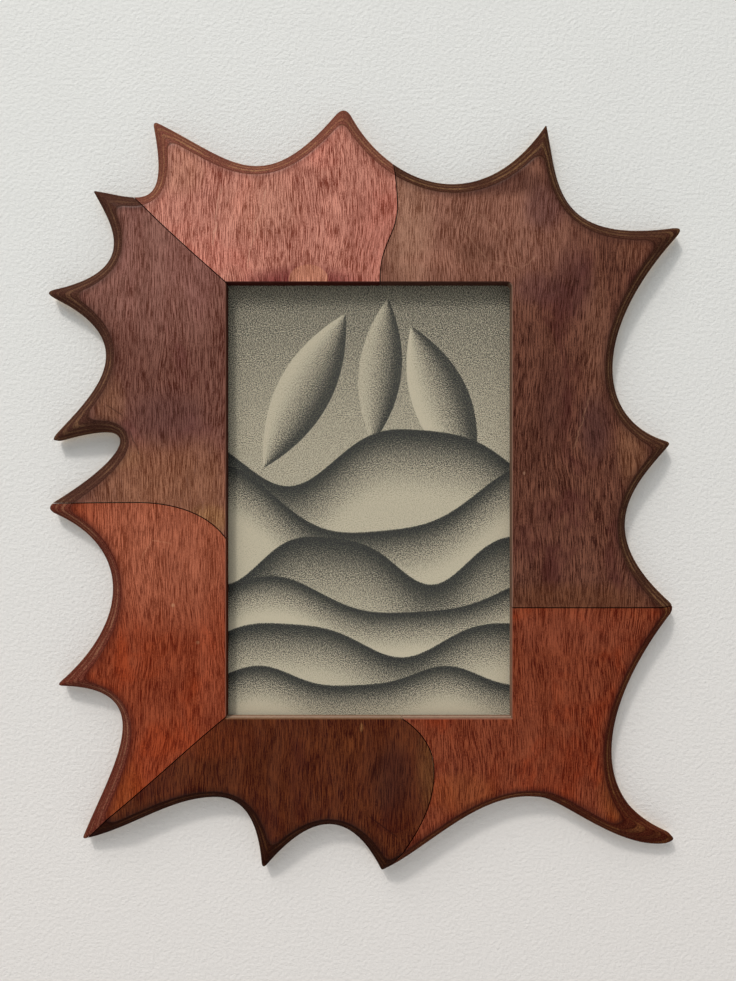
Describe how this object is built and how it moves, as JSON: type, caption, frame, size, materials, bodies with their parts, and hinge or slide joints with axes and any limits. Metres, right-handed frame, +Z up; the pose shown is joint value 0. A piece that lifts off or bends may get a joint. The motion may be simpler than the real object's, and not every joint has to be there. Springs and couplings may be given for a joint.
{
  "type": "picture frame",
  "caption": "Wall picture frame of edge-jointed stained plywood panels with a spiked sunburst outline, a bevelled ply edge, a rebated picture pack and keyhole hanging plates.",
  "frame": {"origin": "midway between the two keyhole entries, on the back face of the panels", "axes": "+X to the viewer's right, +Z up, -Y out of the front towards the viewer; the wall lies at +Y"},
  "size_m": [0.4489, 0.018, 0.5396],
  "materials": {
    "stain_pink_red": "stained and waxed birch plywood",
    "stain_purple_brown": "stained and waxed birch plywood",
    "stain_orange_red": "stained and waxed birch plywood",
    "stain_dark_brown": "stained and waxed birch plywood",
    "stain_orange_red_dark": "stained and waxed birch plywood",
    "stain_plum_brown": "stained and waxed birch plywood",
    "plain_birch": "sanded",
    "glazing": "clear",
    "print": "matte",
    "barrier_card": "matte",
    "hardboard": "smooth hardboard",
    "plated_steel": "zinc plated",
    "screw_steel": "yellow passivated zinc plate",
    "bumper_rubber": "matte"
  },
  "bodies": {
    "frame": {"top_panel": "stain_pink_red", "right_panel": "stain_purple_brown", "lower_right_panel": "stain_orange_red", "bottom_panel": "stain_dark_brown", "lower_left_panel": "stain_orange_red_dark", "upper_left_panel": "stain_plum_brown", "tenon_upper_left": "plain_birch", "tenon_top": "plain_birch", "tenon_right": "plain_birch", "tenon_bottom": "plain_birch", "tenon_lower_left": "plain_birch", "tenon_left": "plain_birch", "glazing": "glazing", "picture_sheet": "print", "barrier_card": "barrier_card", "backing_board": "hardboard", "turn_button_screws": "screw_steel", "hanger_plate_left": "plated_steel", "hanger_plate_right": "plated_steel", "hanger_screws": "screw_steel", "wall_bumpers": "bumper_rubber"},
    "button_top_left": {"turn_button_top_left": "plated_steel"},
    "button_top_right": {"turn_button_top_right": "plated_steel"},
    "button_right_upper": {"turn_button_right_upper": "plated_steel"},
    "button_right_lower": {"turn_button_right_lower": "plated_steel"},
    "button_bottom_right": {"turn_button_bottom_right": "plated_steel"},
    "button_bottom_left": {"turn_button_bottom_left": "plated_steel"},
    "button_left_lower": {"turn_button_left_lower": "plated_steel"},
    "button_left_upper": {"turn_button_left_upper": "plated_steel"}
  },
  "joints": [
    {"name": "button_top_left_turn", "type": "hinge", "parent": "frame", "child": "button_top_left", "pos_m": [-0.07, 0.00065, -0.0225], "axis": [0, 1, 0], "continuous": true},
    {"name": "button_top_right_turn", "type": "hinge", "parent": "frame", "child": "button_top_right", "pos_m": [0.07, 0.00065, -0.0225], "axis": [0, 1, 0], "continuous": true},
    {"name": "button_right_upper_turn", "type": "hinge", "parent": "frame", "child": "button_right_upper", "pos_m": [0.115, 0.00065, -0.09], "axis": [0, 1, 0], "continuous": true},
    {"name": "button_right_lower_turn", "type": "hinge", "parent": "frame", "child": "button_right_lower", "pos_m": [0.115, 0.00065, -0.29], "axis": [0, 1, 0], "continuous": true},
    {"name": "button_bottom_right_turn", "type": "hinge", "parent": "frame", "child": "button_bottom_right", "pos_m": [0.07, 0.00065, -0.3575], "axis": [0, 1, 0], "continuous": true},
    {"name": "button_bottom_left_turn", "type": "hinge", "parent": "frame", "child": "button_bottom_left", "pos_m": [-0.07, 0.00065, -0.3575], "axis": [0, 1, 0], "continuous": true},
    {"name": "button_left_lower_turn", "type": "hinge", "parent": "frame", "child": "button_left_lower", "pos_m": [-0.115, 0.00065, -0.29], "axis": [0, 1, 0], "continuous": true},
    {"name": "button_left_upper_turn", "type": "hinge", "parent": "frame", "child": "button_left_upper", "pos_m": [-0.115, 0.00065, -0.09], "axis": [0, 1, 0], "continuous": true}
  ]
}
